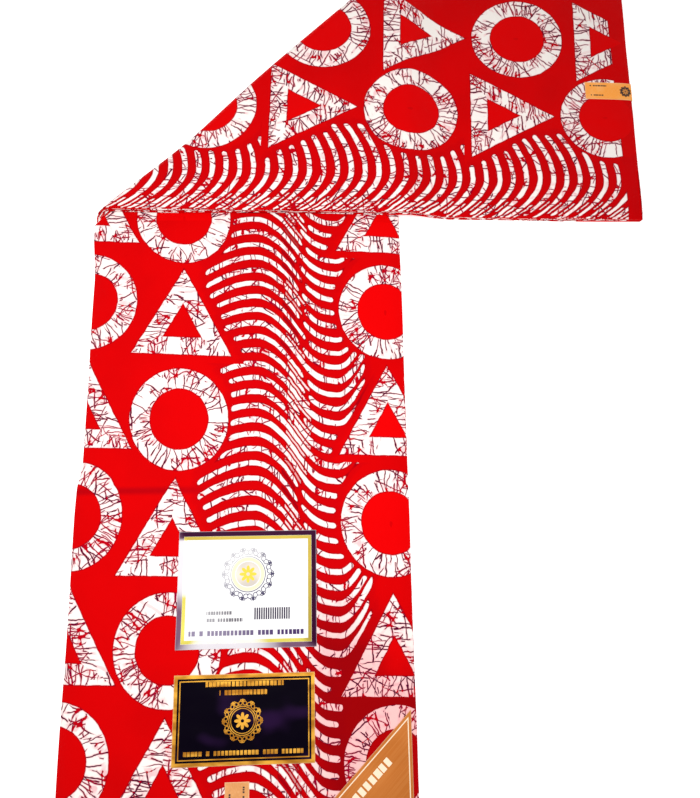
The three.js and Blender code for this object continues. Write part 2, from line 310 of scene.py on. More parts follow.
def stack_piece(name, columns, rows, outer_row, relief, printed, layout, hidden_weight):
    """The closed surface of some laps of the stack.

    printed gives the place in the print for u, s and the row. layout says where each side lies in the
    bake's map: a list of rectangles, and more than one cuts a long side into as many strips. Sections
    for which hidden_weight gives less than 1 get less of the map."""
    along = sections(columns)
    heights = rows["height"]
    counts = (len(columns), len(along), len(heights))
    i, j, k = np.meshgrid(*(np.arange(count) for count in counts), indexing="ij")
    shown = np.zeros(counts, bool)
    for axis in range(3):
        ends = [slice(None)] * 3
        ends[axis] = [0, -1]
        shown[tuple(ends)] = True
    number = np.full(counts, -1)
    number[shown] = np.arange(shown.sum())
    i, j, k = i[shown], j[shown], k[shown]

    u, s, h = columns[i], along[j, i], heights[k]
    row = {key: value if key == "first" else value[k] for key, value in rows.items()}
    from_edge = edge_inset(s, row)
    from_end = end_inset(u, row)
    in_u = u + np.where(i == 0, from_edge, 0) - np.where(i == counts[0] - 1, from_edge, 0)
    in_s = s + np.where(j == 0, from_end, 0) - np.where(j == counts[1] - 1, from_end, 0)
    points = place(in_u, in_s, h)
    points[:, 2] += np.where(k == outer_row % counts[2], relief(in_u, in_s), 0)

    down = np.abs(h - heights[outer_row])
    cloth_u = np.where(i == 0, -down, np.where(i == counts[0] - 1, LAP + down, u))
    cloth_s = np.where(j == 0, s - down, np.where(j == counts[1] - 1, s + down, s))
    cloth = np.stack([cloth_u, cloth_s], -1)
    print_place = np.stack(printed(cloth_u, cloth_s, row), -1)

    width = np.diff(columns)
    length = np.diff(along.mean(1)) * hidden_weight(along[:-1])
    rise = np.diff(heights)
    sides = (
        ("top", number[:, :, -1], False, width, length),
        ("bottom", number[:, :, 0], True, width, length),
        ("outer_wall", number[0].T, False, rise, length),
        ("inner_wall", number[-1].T, True, rise, length),
        ("foot_end", number[:, 0], False, width, rise),
        ("arm_end", number[:, -1], True, width, rise),
    )
    faces = []
    bake = []
    for side, grid, turned, weights_a, weights_b in sides:
        cuts = np.linspace(0, grid.shape[1] - 1, len(layout[side]) + 1).astype(int)
        for start, stop, rectangle in zip(cuts, cuts[1:], layout[side]):
            faces.append(quads(grid[:, start:stop + 1], turned))
            places = bake_grid(weights_a, weights_b[start:stop], rectangle)
            order = quads(np.arange(places[..., 0].size).reshape(places.shape[:2]), turned)
            bake.append(places.reshape(-1, 2)[order])
    faces = np.vstack(faces)
    maps = {"cloth": cloth[faces], "print": print_place[faces], "OFBake": np.vstack(bake)}
    piece = mesh_piece(name, points, faces.tolist(), maps)
    piece.data.shade_smooth()
    return piece


class Shade:
    """One output in a tree of nodes. Arithmetic on a material's values adds Math nodes."""

    def __init__(self, tree, socket=None):
        self.tree = tree
        self.socket = socket

    def node(self, kind, settings=None, sockets=None, out=0):
        """Adds a node: first its settings, then the values or links of its sockets. Gives one output."""
        node = self.tree.nodes.new(kind)
        for key, value in (settings or {}).items():
            setattr(node, key, value)
        for key, value in (sockets or {}).items():
            if isinstance(value, Shade):
                self.tree.links.new(value.socket, node.inputs[key])
            else:
                node.inputs[key].default_value = value
        return Shade(self.tree, node.outputs[out] if len(node.outputs) else None)

    def also(self, out):
        """Another output of the same node."""
        return Shade(self.tree, self.socket.node.outputs[out])

    def math(self, operation, *others):
        """Sums with this as the first value."""
        return self.node("ShaderNodeMath", {"operation": operation}, dict(enumerate((self, *others))))

    def math_after(self, operation, first):
        """Sums with this as the second value."""
        return self.node("ShaderNodeMath", {"operation": operation}, {0: first, 1: self})

    def __add__(self, other):
        return self.math("ADD", other)

    def __sub__(self, other):
        return self.math("SUBTRACT", other)

    def __rsub__(self, other):
        return self.math_after("SUBTRACT", other)

    def __mul__(self, other):
        return self.math("MULTIPLY", other)

    def __truediv__(self, other):
        return self.math("DIVIDE", other)

    def __rtruediv__(self, other):
        return self.math_after("DIVIDE", other)

    __radd__ = __add__
    __rmul__ = __mul__

    def __neg__(self):
        return self.math("MULTIPLY", -1.0)

    def __abs__(self):
        return self.math("ABSOLUTE")

    def __gt__(self, other):
        return self.math("GREATER_THAN", other)

    def __lt__(self, other):
        return self.math("LESS_THAN", other)

    def least(self, other):
        return self.math("MINIMUM", other)

    def most(self, other):
        return self.math("MAXIMUM", other)

    def distance(self, other):
        """How far off a place is that lies this far one way and other the other way."""
        return (self * self + other * other).math("SQRT")

    def choose(self, one, other):
        """The one where this is 1, and the other where it is 0."""
        return self * one + (1.0 - self) * other

    def ramp(self, low, high):
        """0 where this is low and 1 where it is high, smooth in between."""
        sockets = {"Value": self, "From Min": low, "From Max": high}
        return self.node("ShaderNodeMapRange", {"interpolation_type": "SMOOTHSTEP"}, sockets)

    def between(self, low, high, soft=0.1):
        """1 from low to high and 0 outside, over soft edges."""
        return self.ramp(low - soft, low + soft) * (1.0 - self.ramp(high - soft, high + soft))

    def mix(self, first, second):
        """The first colour where this is 0, and the second where it is 1."""
        sockets = {"Factor": self, 6: first, 7: second}
        return self.node("ShaderNodeMix", {"data_type": "RGBA"}, sockets, 2)

    def pair(self, other):
        return self.node("ShaderNodeCombineXYZ", None, {"X": self, "Y": other})

    def parts(self):
        """A vector's X. Its Y and Z are also there."""
        return self.node("ShaderNodeSeparateXYZ", None, {0: self}, "X")

    def chance(self):
        """A number from 0 to 1 that is drawn anew for each value of this."""
        return self.node("ShaderNodeTexWhiteNoise", {"noise_dimensions": "1D"}, {"W": self})

    def noise(self, x, y, detail=2.0):
        """Cloudy noise from 0 to 1 at a place, in units of its cloud size."""
        sockets = {"Vector": x.pair(y), "Scale": 1.0, "Detail": detail}
        return self.node("ShaderNodeTexNoise", {"noise_dimensions": "2D"}, sockets)

    def bump(self, strength, distance, under=None):
        """The way that a surface faces with this as its relief, laid over another bump."""
        sockets = {"Strength": strength, "Distance": distance, "Height": self}
        if under is not None:
            sockets["Normal"] = under
        return self.node("ShaderNodeBump", None, sockets, "Normal")


def new_material(name):
    material = bpy.data.materials.new(name)
    material.use_nodes = True
    material.node_tree.nodes.clear()
    return material, Shade(material.node_tree)


def finish_material(shade, **sockets):
    """Ends a material in its surface. Words joined by _ name the surface's sockets."""
    named = {key.replace("_", " "): value for key, value in sockets.items()}
    surface = shade.node("ShaderNodeBsdfPrincipled", None, named)
    shade.node("ShaderNodeOutputMaterial", None, {"Surface": surface})


def map_place(shade, name):
    """The two numbers of one of the piece's own maps, in millimetres."""
    x = shade.node("ShaderNodeUVMap", {"uv_map": name}).parts()
    return x * MM, x.also("Y") * MM


# The print, in millimetres. Each column of motifs repeats a ring and a triangle; a column of waves runs
# between one pair of columns and the next.
MOTIF_PITCH = 205.0
MOTIF_FROM = -150.0  # where one ring and triangle start, from the ring's centre
COLUMN_PITCH = 290.0
RING_RADIUS, RING_BAND, RING_NARROW = 48.4, 19.3, 1.05
TRIANGLE_TIP, TRIANGLE_BASE, TRIANGLE_BAND = -55.5, -142.5, 17.0
SIDE_COS, SIDE_SIN = 0.8777, 0.4792  # of the triangle's sides, which are 47.5 out and 87 up
RING_CLEAR, TRIANGLE_CLEAR, BASE_CLEAR = 5.0, 9.0, 10.0  # how near the waves come
RING_BELOW = 14.0  # they keep as far from this stretch below a ring's centre
FIRST_COLUMN = (-3.0, 64.4)  # where a ring's centre is, across and along
SECOND_COLUMN = (88.0, 156.0)
PRINT_SKEW = 0.0345  # the print runs this much off square
WAVE_PITCH = MOTIF_PITCH / 15
WAVE_HALF, WAVE_ROUND = 2.4, 2.5  # half a stroke's width, and how its ends are rounded
WAVE_COLUMN = 188.0  # the middle of the column
WAVE_START = 387.4
WAVE_MID, WAVE_HEIGHT, WAVE_LEVEL = 160.0, 28.0, -12.0
WAVE_SPREADS = (40.3, 24.83, 16.8)  # millimetres for each radian, before, down from and past the crest
WAVE_TROUGH = WAVE_MID + math.pi * WAVE_SPREADS[1]
WAVE_SIDES = (109.0, 267.0)
WAVE_UNEVEN = 5.0  # how much the strokes' ends differ
WAVE_BREAK, BREAK_SPREAD, BREAK_HALF = 205.0, 16.0, 1.6  # where most strokes break off, and half the gap
UNBROKEN = 0.3  # the share of the strokes that go on
CROWD_AT, CROWD_INNER, CROWD_OUTER = WAVE_BREAK - 8.0, 6.0, 19.0  # the strokes are thinner about here
CROWD_THIN = 0.34
SHORT_AT, SHORT_SPREAD = WAVE_BREAK - 10.0, 14.0
SHORT_LENGTH, SHORT_LONGER = 4.0, 7.0  # half a short stroke's length, and how much more it may have
SHORT_WIDTH, SHORT_WIDER = 0.55, 0.45  # and so for its width
SHORT_MISSING = 0.55  # the share of the gaps between waves on the lower run without a short stroke
SAG_AT, SAG_REACH, SAG = 211.0, 26.0, 4.3  # the waves hang lower here than an even curve
PLAIN_BEFORE = -8.0  # there are no waves past the first column
BLOCK_SEAM, BLOCK_SHIFT = 620.0, 6.5  # past here the next block's waves come this much sooner
SELVEDGE_MARGIN = 16.4  # plain red along each selvedge
ARM_STARTS = 560.0  # the lower run ends about here
# The block at the foot's right corner was set down lower. Towards that corner the red is also deeper and the
# white pinker.
CORNER_BLOCK = (200.0, 240.0)  # it lies past this place across, and before this place along
CORNER_DROP = 7.5
CORNER_WAVES_ACROSS, CORNER_WAVES_ALONG = (206.0, 226.0), (125.0, 175.0)
CORNER_WAVE_DROP = 5.0
CORNER_PLAIN = (238.0, 150.0)  # no waves past this place across and before this place along
CORNER_DEEP_ACROSS, CORNER_DEEP_ALONG = (185.0, 238.0), (300.0, 368.0)
CREASE_FADES = (85.0, 135.0)  # the painted shade along the crease goes from the outer edge to here

WAVER_OVER, WAVER = 9.0, 1.3  # over what length outlines waver, and how far
CORNER_DEEP_DRIFT, CORNER_DEEP_LEAN = 60.0, 0.6  # how far the edge of the deeper corner colour wanders, and how it leans
ENCLOSED_BY = 10.0  # red this deep inside a motif is enclosed by it, and gets painted light
YARN_PITCH = 0.42

RED = (0.60, 0.0004, 0.0012, 1)
PAINTED_LIGHT_RED = (0.72, 0.0006, 0.0012, 1)
DULL_RED = (0.55, 0.0004, 0.0012, 1)
CORNER_DEEP_RED = (0.29, 0.0008, 0.0020, 1)
CORNER_PINK_WHITE = (0.92, 0.52, 0.50, 1)
DEEP_RED = (0.22, 0.0, 0.004, 1)
IVORY = (0.91, 0.85, 0.80, 1)
BROKEN_RED = (0.44, 0.0004, 0.006, 1)
PINK = (0.80, 0.34, 0.38, 1)
MAROON = (0.075, 0.0, 0.022, 1)
CRIMSON = (0.27, 0.0, 0.024, 1)


def motif_column(across, along, centre):
    """One column of rings and triangles: the distance to their bands, which is negative inside, the
    distance along and across the band, and how near the waves may come."""
    x = (across - centre[0]).math("WRAP", -COLUMN_PITCH / 2, COLUMN_PITCH / 2)
    y = (along - centre[1]).math("WRAP", MOTIF_FROM, MOTIF_FROM + MOTIF_PITCH)
    cell = ((along - centre[1] - MOTIF_FROM) / MOTIF_PITCH).math("FLOOR")
    oval = x * RING_NARROW
    ring = oval.distance(y) - RING_RADIUS
    clear_of_ring = oval.distance(y - y.most(0.0).least(RING_BELOW)) - RING_RADIUS
    dropped = y + (across > CORNER_BLOCK[0]) * (along < CORNER_BLOCK[1]) * CORNER_DROP
    side = abs(x) * SIDE_COS + (dropped - TRIANGLE_TIP) * SIDE_SIN
    base = TRIANGLE_BASE - dropped
    triangle = side.most(base)
    ring_band = abs(ring + RING_BAND / 2) - RING_BAND / 2
    triangle_band = abs(triangle + TRIANGLE_BAND / 2) - TRIANGLE_BAND / 2
    is_ring = ring_band < triangle_band
    way_round = y.math("ARCTAN2", x) * (RING_RADIUS - RING_BAND / 2)
    way_along = (base > side).choose(x, y * 1.14 + x.math("SIGN") * 61.0)
    return {
        "band": ring_band.least(triangle_band),
        "way": is_ring.choose(way_round, way_along) + cell * 173.0 + centre[0],
        "depth": is_ring.choose(ring, triangle),
        "near": (RING_CLEAR - clear_of_ring).most(TRIANGLE_CLEAR - side.most(base - BASE_CLEAR)),
    }


def wave_strokes(across, along, near):
    """The waves between two columns, which stop short of the motifs on both sides with round ends."""
    x = across.math("WRAP", WAVE_COLUMN - COLUMN_PITCH / 2, WAVE_COLUMN + COLUMN_PITCH / 2)
    before, falling, past = WAVE_SPREADS
    turn = (x - WAVE_MID).least(0.0) / before
    turn = turn + (x - WAVE_MID).most(0.0).least(WAVE_TROUGH - WAVE_MID) / falling
    turn = turn + (x - WAVE_TROUGH).most(0.0) / past
    rate = 1 / before + (x > WAVE_MID) * (1 / falling - 1 / before)
    rate = rate + (x > WAVE_TROUGH) * (1 / past - 1 / falling)
    slope = turn.math("SINE") * rate * WAVE_HEIGHT
    level = along + (along > BLOCK_SEAM) * BLOCK_SHIFT - WAVE_START - WAVE_LEVEL
    level = level - turn.math("COSINE") * WAVE_HEIGHT
    level = level + (1.0 - abs(x - SAG_AT) / SAG_REACH).ramp(0.0, 1.0) * SAG
    in_corner = across.ramp(*CORNER_WAVES_ACROSS) * (1.0 - along.ramp(*CORNER_WAVES_ALONG))
    level = level + in_corner * CORNER_WAVE_DROP
    stroke = (level / WAVE_PITCH + 0.5).math("FLOOR")
    chance = stroke.chance()
    upright = 1.0 / (slope * slope + 1.0).math("SQRT")
    from_middle = level.math("PINGPONG", WAVE_PITCH / 2)
    on_arm = along > ARM_STARTS
    crowded = (1.0 - abs(x - CROWD_AT).ramp(CROWD_INNER, CROWD_OUTER)) * (0.6 + 0.4 * on_arm)
    half = WAVE_HALF * (0.84 + 0.16 * upright) * (1.0 - CROWD_THIN * crowded)
    thin = from_middle * upright - half + (chance - 0.5) * 0.5
    end = near.most(WAVE_SIDES[0] - x).most(x - WAVE_SIDES[1]).most(PLAIN_BEFORE - across)
    end = end.most((across - CORNER_PLAIN[0]).least(CORNER_PLAIN[1] - along))
    end = end + (chance - 0.5) * WAVE_UNEVEN
    from_break = abs(x - WAVE_BREAK - (chance - 0.65) * BREAK_SPREAD)
    end = end.most(BREAK_HALF - from_break - (chance < UNBROKEN) * 99.0)
    a, b = thin + WAVE_ROUND, end + WAVE_ROUND
    band = a.most(0.0).distance(b.most(0.0)) - WAVE_ROUND + a.most(b).least(0.0)

    # Short thin strokes lie in between where the long ones break off.
    own = ((level / WAVE_PITCH).math("FLOOR") + 0.37).chance()
    short = (WAVE_PITCH / 2 - from_middle) * upright - SHORT_WIDTH - SHORT_WIDER * own
    short = short.most(abs(x - SHORT_AT - (own - 0.5) * SHORT_SPREAD) - SHORT_LENGTH - SHORT_LONGER * own)
    short = short.most(SHORT_MISSING - own - on_arm)
    return {
        "band": band.least(short.most(near)),
        "way": x * 1.15 + stroke * 37.0,
        "depth": thin,
    }


# The families of cracks: the way they run in degrees, or None for those right across the band; the room
# that each crack has across and along itself; how far they lean; and the share of them that shows, where
# the wax broke least and where it broke most.
CRACK_FAMILIES = (
    (None, 4.6, None, 0.20, 0.36, 0.85),
    (None, 9.0, None, 0.45, 0.22, 0.85),
    (64.0, 8.0, 46.0, 0.22, 0.18, 0.90),
    (14.0, 8.5, 42.0, 0.25, 0.16, 0.85),
    (-38.0, 8.0, 44.0, 0.22, 0.18, 0.90),
    (112.0, 8.0, 24.0, 0.40, 0.06, 0.85),
)
CRACK_HALF = 0.52


def inside_crack(chance, off, tail, share):
    """How far inside a crack a place is that lies off from its line and tail past its end, where only a
    share of the cracks shows."""
    width = CRACK_HALF * (0.65 + 0.6 * chance.also("Z")) - abs(off)
    return width.least(tail * -0.25).least((share - chance) * 20.0)


def crack_family(shade, x, y, room, length, lean, share, seed):
    """Open cracks that run near y. It gives how far inside the nearest crack a place is, in mm."""
    cell_x, cell_y = x / room + seed, y / length + seed * 0.7
    settings = {"voronoi_dimensions": "2D", "feature": "F1"}
    sockets = {"Vector": cell_x.pair(cell_y), "Scale": 1.0}
    cell = shade.node("ShaderNodeTexVoronoi", settings, sockets, "Position")
    own_x, chance = cell.parts(), cell.also("Color").parts()
    down = (cell_y - own_x.also("Y")) * length
    bow = (chance.also("Y") - 0.5) * down * down * (0.9 / length)
    off = (cell_x - own_x) * room - (chance.also("Z") - 0.5) * 2.0 * lean * down + bow
    tail = abs(down) - length * (0.22 + 0.26 * chance.also("Y"))
    return inside_crack(chance, off, tail, share)


def crack_across(shade, way, depth, room, lean, share, seed):
    """Cracks from one side of a band to the other, where some stop on the way."""
    cell_x = way / room + seed
    settings = {"voronoi_dimensions": "1D", "feature": "F1"}
    own_x = shade.node("ShaderNodeTexVoronoi", settings, {"W": cell_x, "Scale": 1.0}, "W")
    chance = own_x.also("Color").parts()
    down = depth + RING_BAND / 2
    bow = (chance.also("Y") - 0.5) * down * down * 0.02
    off = (cell_x - own_x) * room - (chance.also("Z") - 0.5) * 2.0 * lean * down + bow
    onwards = ((chance.also("Z") > 0.5) * 2.0 - 1.0) * down
    tail = onwards + 4.0 - 26.0 * chance.also("Y")
    return inside_crack(chance, off, tail, share)


def crackle(shade, across, along, form, crowd, on_wave):
    """How far inside a crack a place is, in millimetres, and how many cracks run close by."""
    bent = (shade.noise(across / 12.0, along / 12.0) - 0.5) * 4.0
    bent = bent + (shade.noise(across / 2.6 + 9.0, along / 2.6) - 0.5) * 0.3
    vein = 0.0 * across - 99.0
    crossed = 0.0 * across
    for number, (turned, room, length, lean, least_share, most_share) in enumerate(CRACK_FAMILIES):
        share = (least_share + (most_share - least_share) * crowd) * (1.0 - 0.30 * on_wave)
        seed = 7.3 * number
        if turned is None:
            family = crack_across(shade, form["way"] + bent, form["depth"], room, lean, share, seed)
        else:
            cosine, sine = math.cos(math.radians(turned)), math.sin(math.radians(turned))
            x, y = across * cosine + along * sine, along * cosine - across * sine
            family = crack_family(shade, x + bent, y, room, length, lean, share, seed)
        vein = vein.most(family)
        crossed = crossed + family.ramp(-1.3, 0.1)
    return vein, crossed


def cotton_material():
    material, shade = new_material("printed_cotton")
    across, along = map_place(shade, "print")
    along = along + across * PRINT_SKEW
    u, s = map_place(shade, "cloth")

    # The wax is laid by hand blocks, so outlines waver a little.
    wide, high = across / WAVER_OVER, along / WAVER_OVER
    px = across + (shade.noise(wide, high) - 0.5) * WAVER
    py = along + (shade.noise(wide + 31.0, high + 17.0) - 0.5) * WAVER
    first = motif_column(px, py, FIRST_COLUMN)
    second = motif_column(px, py, SECOND_COLUMN)
    waves = wave_strokes(px, py, first["near"].most(second["near"]))

    def nearest(one, other):
        which = one["band"] < other["band"]
        return {key: which.choose(one[key], other[key]) for key in ("band", "way", "depth")}

    motifs = nearest(first, second)
    form = nearest(motifs, waves)
    on_wave = waves["band"] < motifs["band"]

    # Cracks in the wax crowd together in some places and leave others clean.
    crowd = shade.noise(across / 21.0 + 20.0, along / 21.0 + 90.0, 1.5).ramp(0.38, 0.62)
    knot = shade.noise(wide + 3.0, high + 40.0, 1.0).ramp(0.52, 0.68) * crowd
    vein, crossed = crackle(shade, across, along, form, crowd, on_wave)
    ragged = shade.noise(across / 1.5, along / 1.5) * 0.7
    broken = (crossed * 0.42 + knot * (0.8 + 0.3 * on_wave) + ragged - 0.35).ramp(1.16, 1.34)

    inside = s.least(CLOTH_WIDTH * MM - s) - SELVEDGE_MARGIN
    resisted = (-form["band"]).least(inside)
    white = resisted.ramp(-0.12, 0.16)
    outline = resisted.ramp(-1.3, -0.2) * (1.0 - white)
    fringe = 1.0 - resisted.ramp(0.1, 0.9)
    halo = vein.ramp(-1.3, 0.1).most(knot)

    # Dye takes a little unevenly. Towards the foot's right corner the red is deeper and the white pinker.
    # Red that a motif encloses is made lighter, which is painted light. Red between the waves is duller, and
    # a dark line along the crease is painted shade.
    # Deeper red and pinker white towards the foot's right corner.
    cloudy = shade.noise(across / 60.0, along / 60.0, 3.0)
    drift = (cloudy - 0.5) * CORNER_DEEP_DRIFT
    corner = 1.0 - (along + across * CORNER_DEEP_LEAN + drift).ramp(*CORNER_DEEP_ALONG)
    deep_corner = (across + drift).ramp(*CORNER_DEEP_ACROSS) * corner
    on_run = s < ARM_STARTS
    enclosed = (motifs["depth"] < -ENCLOSED_BY) * (motifs["band"] > 0.0)
    painted_light = on_run.choose(across.ramp(40.0, 260.0) * 0.85, 0.55)
    between = 1.0 - waves["band"].ramp(3.0, 9.0)
    from_crease = abs(s - PACK_CREASES[0] * MM)
    # Painted shade: a dark line along the lower run's first pack crease.
    painted_crease_shade = (1.0 - from_crease.ramp(0.4, 5.5)) * on_run * (1.0 - u.ramp(*CREASE_FADES))
    ground = deep_corner.mix(cloudy.ramp(0.3, 0.75).mix(RED, DULL_RED), CORNER_DEEP_RED)
    # Painted light: the red that a motif encloses is made lighter, more so towards the right of the lower
    # run.
    ground = (enclosed * painted_light * (1.0 - deep_corner * 0.7)).mix(ground, PAINTED_LIGHT_RED)
    # Duller red between the waves, painted shade along the crease, and the motifs' dark outlines.
    for share in (between * 0.15, painted_crease_shade * 0.5, outline * 0.75):
        ground = share.mix(ground, DEEP_RED)

    cloth_white = (fringe.most(halo) * 0.65).mix(deep_corner.mix(IVORY, CORNER_PINK_WHITE), PINK)
    cracked = crowd.ramp(0.45, 1.15).mix(MAROON, CRIMSON)
    printed = broken.mix(vein.ramp(-0.16, 0.14).mix(cloth_white, cracked), BROKEN_RED)

    # Plain weave, with slubs in both ways, under a pressed and waxed face.
    warp = (u * (2 * math.pi / YARN_PITCH)).math("SINE")
    weft = (s * (2 * math.pi / YARN_PITCH)).math("SINE")
    slub = shade.noise(u / 0.5, s / 14.0) + shade.noise(u / 14.0 + 30.0, s / 0.5)
    weave = warp * weft * 0.5 + slub * 0.8
    soft = shade.noise(u / 22.0, s / 22.0)
    finish_material(
        shade,
        Base_Color=white.mix(ground, printed),
        Roughness=0.50 + 0.08 * slub + 0.08 * white - 0.06 * painted_crease_shade,
        Normal=soft.bump(0.35, 0.0016, weave.bump(0.25, 0.00012)),
        Specular_IOR_Level=0.12,
        Specular_Tint=(1.0, 0.05, 0.05, 1),
    )
    return material


COTTON = cotton_material()
RUN_LAPS = (STACK - PAIR, STACK, 2, LAPS - 2)  # from and to h, how many laps, and the first one's number
FACE_COLUMNS = steps([0, 0.0024, 0.006, LAP - 0.006, LAP - 0.0024, LAP], 0.0040)
RUN_SHOWN_TO = 0.600
FACE_LAYOUT = {
    "outer_wall": [(0.890, 0.01, 0.912, 0.95)],
    "inner_wall": [(0.920, 0.01, 0.942, 0.95)],
    "foot_end": [(0.01, 0.957, 0.88, 0.973)],
    "arm_end": [(0.01, 0.978, 0.88, 0.994)],
}


def run_relief(u, s):
    return small_relief(u, s, RUN_CREASES) * smooth((FOOT + 0.004 - s) / 0.010)


run_face = stack_piece(
    "run_face",
    FACE_COLUMNS,
    lap_rows(*RUN_LAPS),
    outer_row=-1,
    relief=run_relief,
    printed=lambda u, s, row: (u, s),
    layout={"top": [(0.01, 0.01, 0.88, 0.95)], "bottom": [(0.955, 0.01, 0.985, 0.95)], **FACE_LAYOUT},
    hidden_weight=lambda s: np.where(s[:, -1] > RUN_SHOWN_TO, 0.05, 1.0),
)
run_face.data.materials.append(COTTON)
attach(run_face, "root")
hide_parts("run_sheet")


# ======== The laps between ========
# Fourteen more laps of the same cotton, folded to and fro and pressed. Only their folded edges show along
# the strip, and their selvedges at its two ends.

SEAM_GAP = 0.0004
MIDDLE_LAPS = (PAIR + SEAM_GAP, STACK - PAIR - SEAM_GAP, LAPS - 4, 2)
LAP_COLUMNS = steps([0, 0.0024, 0.008, LAP - 0.008, LAP - 0.0024, LAP], 0.016)


def lap_print(u, s, row):
    """Each pair's fold is one or more laps further along the cloth, so it shows another part of the print."""
    laps_on = 2 * ((row["lap"] + row["first"]) // 2)
    return np.where(u < LAP / 2, 0.0, LAP) + laps_on * LAP + row["share"] % 2 * LAYER_PITCH, s


laps = stack_piece(
    "laps",
    LAP_COLUMNS,
    lap_rows(*MIDDLE_LAPS),
    outer_row=-1,
    relief=lambda u, s: 0 * u,
    printed=lap_print,
    layout={
        "top": [(0.955, 0.01, 0.965, 0.95)],
        "bottom": [(0.975, 0.01, 0.985, 0.95)],
        "outer_wall": [(0.01 + 0.11 * n, 0.01, 0.11 + 0.11 * n, 0.95) for n in range(4)],
        "inner_wall": [(0.45 + 0.11 * n, 0.01, 0.55 + 0.11 * n, 0.95) for n in range(4)],
        "foot_end": [(0.01, 0.956, 0.94, 0.974)],
        "arm_end": [(0.01, 0.978, 0.94, 0.996)],
    },
    hidden_weight=lambda s: np.ones(len(s)),
)
laps.data.materials.append(COTTON)
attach(laps, "root")
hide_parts("hidden_laps")


# ======== The face of the arm ========
# The last folded pair of laps of the same cotton. It is the underside of the lower run, goes round the
# outside of the diagonal fold, and is the upper face of the arm. The fold is only pressed down.

ARM_LAPS = (0, PAIR, 2, 0)
ARM_CREASES = (
    (0.150, 0.8475, 0, 0.200, 0.0022, -0.00045),
    (0.230, 0.8560, 2, 0.080, 0.0035, 0.00035),
    (0.215, 0.8290, 1, 0.090, 0.0040, -0.00040),
    (0.060, 0.8400, -3, 0.050, 0.0035, 0.00025),
    (0.270, 0.9300, 60, 0.040, 0.0060, -0.00045),
    (0.225, 0.9700, -35, 0.045, 0.0060, 0.00040),
    (0.120, 1.0200, 76, 0.045, 0.0055, -0.00035),
    (0.185, 1.0600, 62, 0.035, 0.0050, 0.00040),
    (0.200, 1.0980, 80, 0.030, 0.0045, -0.00045),
    (0.105, 1.1000, 96, 0.028, 0.0045, -0.00040),
    (0.030, 1.0100, 4, 0.060, 0.0045, -0.00025),
    (0.040, 0.7300, 40, 0.050, 0.0055, -0.00030),
    (0.110, 0.7650, 46, 0.055, 0.0060, 0.00028),
    (0.160, 0.7900, 50, 0.040, 0.0050, -0.00028),
    (0.085, 0.9050, -12, 0.060, 0.0060, 0.00022),
    (0.020, 0.8900, 88, 0.030, 0.0040, -0.00028),
)
ARM_PRINT_EDGE = 0.205  # the arm's lap shows the print mirrored, starting here
ARM_PRINT_FROM, ARM_PRINT_SCALE = (0.117, 0.755), 0.967  # about this place its print is drawn out a little
ARM_PRINT_ALONG = 0.089


def arm_relief(u, s):
    landed = smooth(((s - FOOT - u) / ROOT2 - BEND) / 0.012)
    return small_relief(u, s, ARM_CREASES) * landed


def arm_print(u, s, row):
    middle_u, middle_s = ARM_PRINT_FROM
    drawn_u = middle_u + (u - middle_u) * ARM_PRINT_SCALE
    drawn_s = middle_s + (s - middle_s) * ARM_PRINT_SCALE
    return ARM_PRINT_EDGE - drawn_u, drawn_s + ARM_PRINT_ALONG


arm_face = stack_piece(
    "arm_face",
    FACE_COLUMNS,
    lap_rows(*ARM_LAPS),
    outer_row=0,
    relief=arm_relief,
    printed=arm_print,
    layout={"bottom": [(0.01, 0.01, 0.88, 0.95)], "top": [(0.955, 0.01, 0.985, 0.95)], **FACE_LAYOUT},
    hidden_weight=lambda s: np.where(s[:, 0] < FOOT - 0.0001, 0.05, 1.0),
)
arm_face.data.materials.append(COTTON)
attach(arm_face, "root")
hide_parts("arm_sheet")


# ======== The selvedge threads ========
# Little loops of weft yarn that stand out of every lap's selvedge, where the weft turned back in the loom.
# They are part of the cloth. They show at the foot of the lower run and at the end of the arm.

THREAD_HALF = 0.00008
LOOP_REACH = 0.00034
LOOP_PITCH = 0.0027
LOOP_ROOT = 0.00012  # how deep a loop starts inside the selvedge


def lap_ends(at_foot):
    """The selvedges of all the laps at one end of the strip: a list of lines, each of some points."""
    u = steps([0.002, LAP - 0.002], 0.004)
    lines = []
    for low, high, count, first in (ARM_LAPS, MIDDLE_LAPS, RUN_LAPS):
        for lap in range(count):
            height = low + (high - low) * (lap + 0.5) / count
            middle = {"share": lap + 0.5, "lap": lap, "first": first}
            back = end_inset(u, middle) + LOOP_ROOT
            lines.append(place(u, back if at_foot else arm_end(u) - back, height))
    return lines


